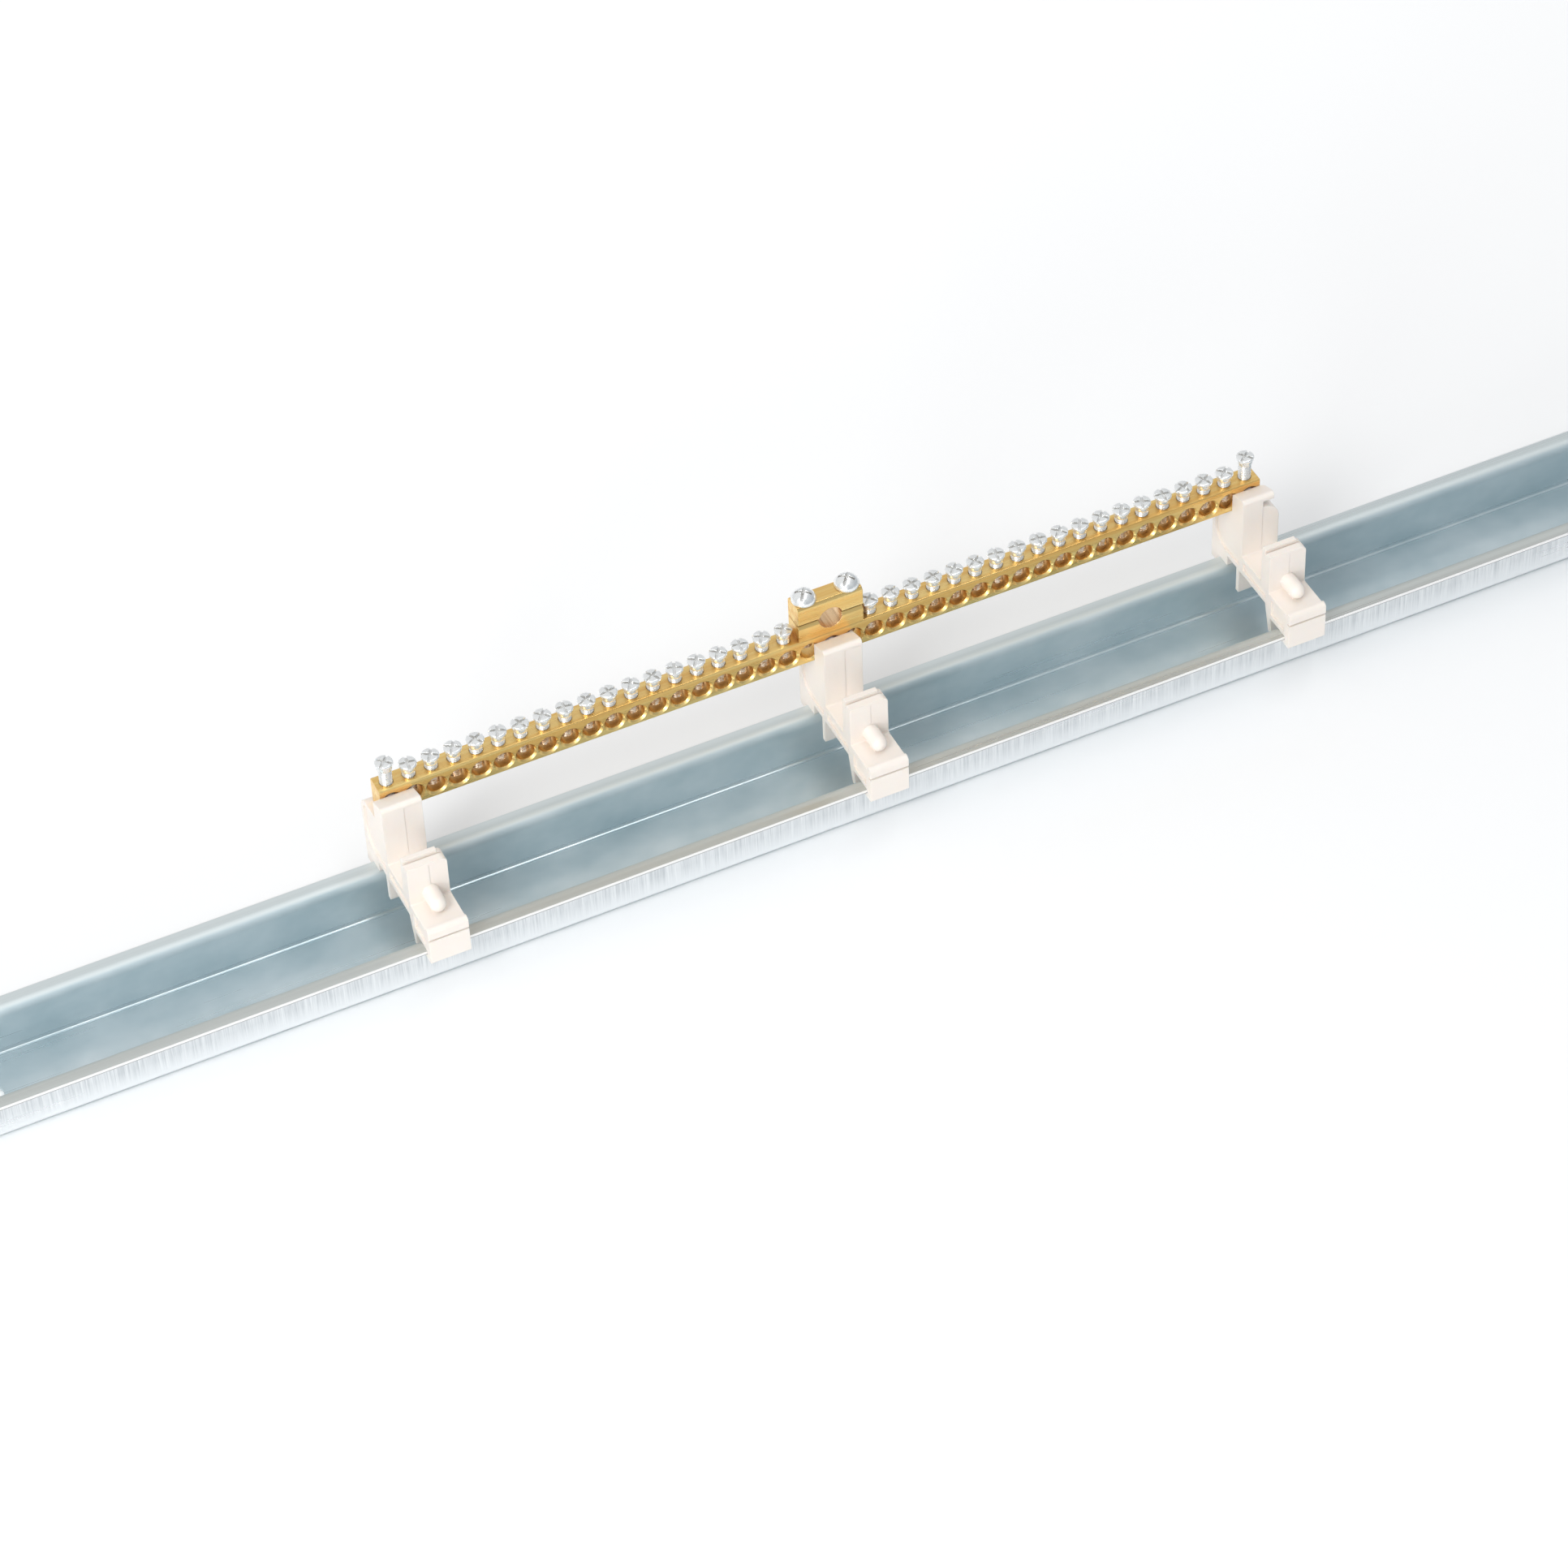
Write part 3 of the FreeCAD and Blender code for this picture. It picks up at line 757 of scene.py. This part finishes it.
# %% [markdown]
# A finished head and the rest of the screw become one mesh. Smooth shading makes the turned faces look
# round, and edges sharper than 50 degrees stay crisp, which keeps the slots and the thread readable.

# %% Join a screw
CRISP_FROM = math.radians(50)


def join_screw(name, head_data, rest):
    """One mesh from a finished head, in metres, and the rest of the screw, drawn in millimetres."""
    bmesh.ops.scale(rest, vec=(MM, MM, MM), verts=rest.verts)
    bmesh.ops.recalc_face_normals(rest, faces=rest.faces)
    rest.from_mesh(head_data)
    data = bpy.data.meshes.new(name)
    rest.to_mesh(data)
    rest.free()
    data.shade_smooth()
    data.set_sharp_from_angle(angle=CRISP_FROM)
    data.materials.append(zinc)
    return data


# %% [markdown]
# The terminal screw has a tall round head with two deep slots right across it. The head draws in towards
# the collar below, so its lower rounding is the larger one, and its top is slightly crowned. The zero
# height is under the head.

# %% Head of the terminal screw
HEAD_DIAMETER = 4.8
HEAD_HEIGHT = 1.4
HEAD_LOWER_ROUND = 0.75
HEAD_UPPER_ROUND = 0.38
HEAD_CROWN = 0.12
HEAD_BEVEL = 0.07
SLOT_WIDTH = 0.75
SLOT_DEPTH = 0.85


def terminal_screw_head():
    """The crowned head with its two crossed slots."""
    rim_top = HEAD_HEIGHT - HEAD_CROWN
    rim = rounded_rim(HEAD_DIAMETER / 2, 0.0, rim_top, HEAD_LOWER_ROUND, HEAD_UPPER_ROUND)
    crown = [(HEAD_DIAMETER / 4, HEAD_HEIGHT - HEAD_CROWN / 4), (0, HEAD_HEIGHT)]
    mesh = bmesh.new()
    add_lathe(mesh, [(0, 0)] + rim + crown)
    body = object_from(mesh, "screw_head")
    slot_floor = HEAD_HEIGHT - SLOT_DEPTH
    slots = [slot_cutter("slot", HEAD_DIAMETER, SLOT_WIDTH, slot_floor, HEAD_HEIGHT, turn)
             for turn in (0, 90)]
    return cut_and_bevel(body, slots, HEAD_BEVEL)


# %% [markdown]
# Below the head is a plain collar with a bevelled lower edge, and from there the thread runs down into the
# bar. The collar and the shank each reach a little into what is above them, so that no gap shows.

# %% Terminal screw
COLLAR_DIAMETER = 3.9
COLLAR_LENGTH = 1.3
COLLAR_BEVEL = 0.3
COLLAR_EDGE = 0.05
COLLAR_FOOT = 0.02
COLLAR_OVERLAP = 0.05
SHANK_OVERLAP = 0.02
SCREW_LENGTH = 8.3


def terminal_screw_mesh():
    """The whole screw: head, collar and threaded shank."""
    radius = COLLAR_DIAMETER / 2
    bevel_top = COLLAR_BEVEL - COLLAR_LENGTH
    rest = bmesh.new()
    add_lathe(rest, [
        (0, -COLLAR_LENGTH),
        (THREAD_DIAMETER / 2 + COLLAR_FOOT, -COLLAR_LENGTH),
        (radius - COLLAR_EDGE, bevel_top - COLLAR_EDGE),
        (radius, bevel_top + COLLAR_EDGE),
        (radius, COLLAR_OVERLAP),
        (0, COLLAR_OVERLAP),
    ])
    add_shank(rest, SHANK_OVERLAP - COLLAR_LENGTH, SCREW_LENGTH - COLLAR_LENGTH)
    return join_screw("terminal_screw", terminal_screw_head(), rest)


terminal_screw_data = terminal_screw_mesh()
print("faces in a terminal screw:", len(terminal_screw_data.polygons))

# %% [markdown]
# The clamp's screws are pan heads. The dome is a piece of one large sphere, so its profile is worked out
# from the head's width and height. Below it is a low straight rim with a rounded foot.

# %% Profile of the pan head
PAN_DIAMETER = 6.6
PAN_HEIGHT = 3.0
PAN_RIM = 0.9
PAN_RIM_EASE = 0.1
PAN_FOOT = [(0.25, 0.0), (0.06, 0.1), (0.0, 0.3)]
DOME_STEPS = 10


def pan_head_profile():
    """Radius and height pairs: the foot, whose insets are from the rim, then the rim and the dome."""
    radius = PAN_DIAMETER / 2
    dome = PAN_HEIGHT - PAN_RIM
    dome_radius = (radius ** 2 + dome ** 2) / (2 * dome)
    widest = math.asin(radius / dome_radius)
    foot = [(radius - inset, height) for inset, height in PAN_FOOT]
    profile = [(0, 0)] + foot + [(radius, PAN_RIM - PAN_RIM_EASE)]
    for step in range(1, DOME_STEPS):
        a = widest * (1 - step / DOME_STEPS)
        profile.append((dome_radius * math.sin(a), PAN_HEIGHT - dome_radius * (1 - math.cos(a))))
    return profile + [(0, PAN_HEIGHT)]


# %% [markdown]
# The pan head has one slot right across and a short, slightly deeper one crossing it. The rest is made as
# for the terminal screw, with the same thread, but there is no collar: the shank starts right under the
# head.

# %% Clamp screw
PAN_SLOT_DEPTH = 1.3
PAN_CROSS_REACH = 2.2
PAN_CROSS_EXTRA_DEPTH = 0.3
PAN_BEVEL = 0.09
CLAMP_SCREW_LENGTH = 16.0


def clamp_screw_mesh():
    """The whole screw: slotted pan head and threaded shank."""
    mesh = bmesh.new()
    add_lathe(mesh, pan_head_profile())
    body = object_from(mesh, "pan_head")
    slot_floor = PAN_HEIGHT - PAN_SLOT_DEPTH
    cross_floor = slot_floor - PAN_CROSS_EXTRA_DEPTH
    slot = slot_cutter("slot", PAN_DIAMETER, SLOT_WIDTH, slot_floor, PAN_HEIGHT, 0)
    cross = slot_cutter("cross", PAN_CROSS_REACH, SLOT_WIDTH, cross_floor, PAN_HEIGHT, 90)
    head_data = cut_and_bevel(body, [slot, cross], PAN_BEVEL)
    rest = bmesh.new()
    add_shank(rest, SHANK_OVERLAP, CLAMP_SCREW_LENGTH)
    return join_screw("clamp_screw", head_data, rest)


clamp_screw_data = clamp_screw_mesh()
print("faces in a clamp screw:", len(clamp_screw_data.polygons))

# %% [markdown]
# Each detailed screw takes the place of one CAD screw: its axis is the middle of the CAD screw's box, and
# its head's top is the box's top. A terminal screw stops turning wherever it is tight, so each one gets its
# own random turn. The two clamp screws are large enough in the photograph for their turns to be read from
# it.

# %% Set every screw in place
CLAMP_SCREW_TURNS = {"clamp_screw_left": 55.0, "clamp_screw_right": 50.0}


def set_screw(name, data, head_height, turn_degrees):
    """Places a detailed screw over the CAD screw of that name."""
    low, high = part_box(name)
    screw = bpy.data.objects.new(name + "_cut", data)
    turn = Matrix.Rotation(math.radians(turn_degrees), 4, "Z")
    place = Vector(((low[0] + high[0]) / 2, (low[1] + high[1]) / 2, high[2] - head_height * MM))
    screw.matrix_world = Matrix.Translation(place) @ turn
    bpy.context.scene.collection.objects.link(screw)
    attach(screw, "root")
    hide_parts(name)
    return screw


screws = []
for name in sorted(nodes):
    if name.startswith("terminal_screw"):
        screws.append(set_screw(name, terminal_screw_data, HEAD_HEIGHT, rng.uniform(0, 360)))
    elif name.startswith("clamp_screw"):
        screws.append(set_screw(name, clamp_screw_data, PAN_HEIGHT, CLAMP_SCREW_TURNS[name]))
print("screws set:", len(screws))

# %% [markdown]
# The floor is plain and pale, and runs well past the picture. It is part of the stage, not of the object.
# The lamps that suit the metal leave its far end grey. A studio would give the backdrop a lamp of its own.
# Here the floor glows faintly instead, from nothing beside the rail to its full strength at the far edge of
# the picture, so that nothing on the object changes.

# %% Floor
FLOOR_REACH = 4000.0
FLOOR_GAP = 0.2
FLOOR_DULL = (0.94, 0.94, 0.94)
FLOOR_BRIGHT = (0.96, 0.96, 0.96)
FLOOR_GLOW = 0.14
GLOW_GROWS = (30.0, 300.0)


def make_floor_finish():
    """Matt and nearly white, with a glow that grows with the distance behind the object."""
    material, tree, surface = new_material("floor")
    mottle = stretched_noise(tree, EVEN, scale=4.0, detail=2.0)
    tree.links.new(mix_colours(tree, mottle, FLOOR_DULL, FLOOR_BRIGHT), surface.inputs["Base Color"])
    place = coordinates(tree, tree.nodes.new("ShaderNodeTexCoord").outputs["Object"])
    glow = remap(tree, place["Y"], metres(GLOW_GROWS), (0.0, FLOOR_GLOW))
    tree.links.new(glow, surface.inputs["Emission Strength"])
    surface.inputs["Emission Color"].default_value = (1.0, 1.0, 1.0, 1.0)
    surface.inputs["Roughness"].default_value = 0.9
    surface.inputs["Specular IOR Level"].default_value = 0.1
    return material


mesh = bmesh.new()
bmesh.ops.create_grid(mesh, x_segments=1, y_segments=1, size=FLOOR_REACH)
floor = object_from(mesh, "floor")
floor.location = (0, 0, -FLOOR_GAP * MM)
floor.data.materials.append(make_floor_finish())
print("floor, mm from the middle to each side:", round(max(v.co.x for v in floor.data.vertices) / MM))

# %% [markdown]
# A product picture on white has light from nearly everywhere, but polished metal only looks like metal when
# it has something darker to reflect. So the world is bright above and behind, and greyer in front.

# %% Sky
BRIGHT_SIDE = (-0.3, 0.5, 0.8)
GREY_TO_BRIGHT = (-0.2, 0.9)
SKY_GREY = (0.42, 0.46, 0.50)
SKY_BRIGHT = (0.95, 0.95, 0.95)
SKY_STRENGTH = 0.8


def make_sky():
    """A sky that is brightest above and behind the object."""
    world = bpy.data.worlds.new("studio")
    world.use_nodes = True
    tree = world.node_tree
    tree.nodes.clear()
    direction = tree.nodes.new("ShaderNodeTexCoord").outputs["Generated"]
    towards_bright = vector_math(tree, "DOT_PRODUCT", direction, BRIGHT_SIDE)
    share = rising(tree, towards_bright.outputs["Value"], GREY_TO_BRIGHT)
    background = add_node(tree, "ShaderNodeBackground", Strength=SKY_STRENGTH)
    output = tree.nodes.new("ShaderNodeOutputWorld")
    tree.links.new(mix_colours(tree, share, SKY_GREY, SKY_BRIGHT), background.inputs["Color"])
    tree.links.new(background.outputs["Background"], output.inputs["Surface"])
    return world


bpy.context.scene.world = make_sky()
print("nodes in the sky:", len(bpy.context.scene.world.node_tree.nodes))

# %% [markdown]
# Three lamps shape the object. The key light comes from the upper left, a low fill from the front left lets
# the holders cast soft shadows along the channel, and a long light overhead draws the bright lines in the
# rail's bends. Colours go to the screen as they are, with no film look, because the photograph has none.

# %% Lights
LIGHT_AIM = Vector((0.0, 0.0, 20.0))


def area_light(name, place, size, watts):
    """A rectangular soft light that faces the middle of the object."""
    lamp = bpy.data.lights.new(name, "AREA")
    lamp.shape = "RECTANGLE"
    lamp.size, lamp.size_y = metres(size)
    lamp.energy = watts
    light = bpy.data.objects.new(name, lamp)
    light.location = Vector(place) * MM
    light.rotation_euler = (LIGHT_AIM * MM - light.location).to_track_quat("-Z", "Y").to_euler()
    bpy.context.scene.collection.objects.link(light)
    return light


lights = [
    area_light("key", place=(-1000, -680, 1060), size=(550, 550), watts=10.0),
    area_light("fill", place=(-1020, -1080, 300), size=(450, 350), watts=5.2),
    area_light("top", place=(300, -200, 1400), size=(1400, 200), watts=3.5),
]
bpy.context.scene.view_settings.view_transform = "Standard"
bpy.context.scene.view_settings.exposure = 0.0
print("lights:", len(lights))
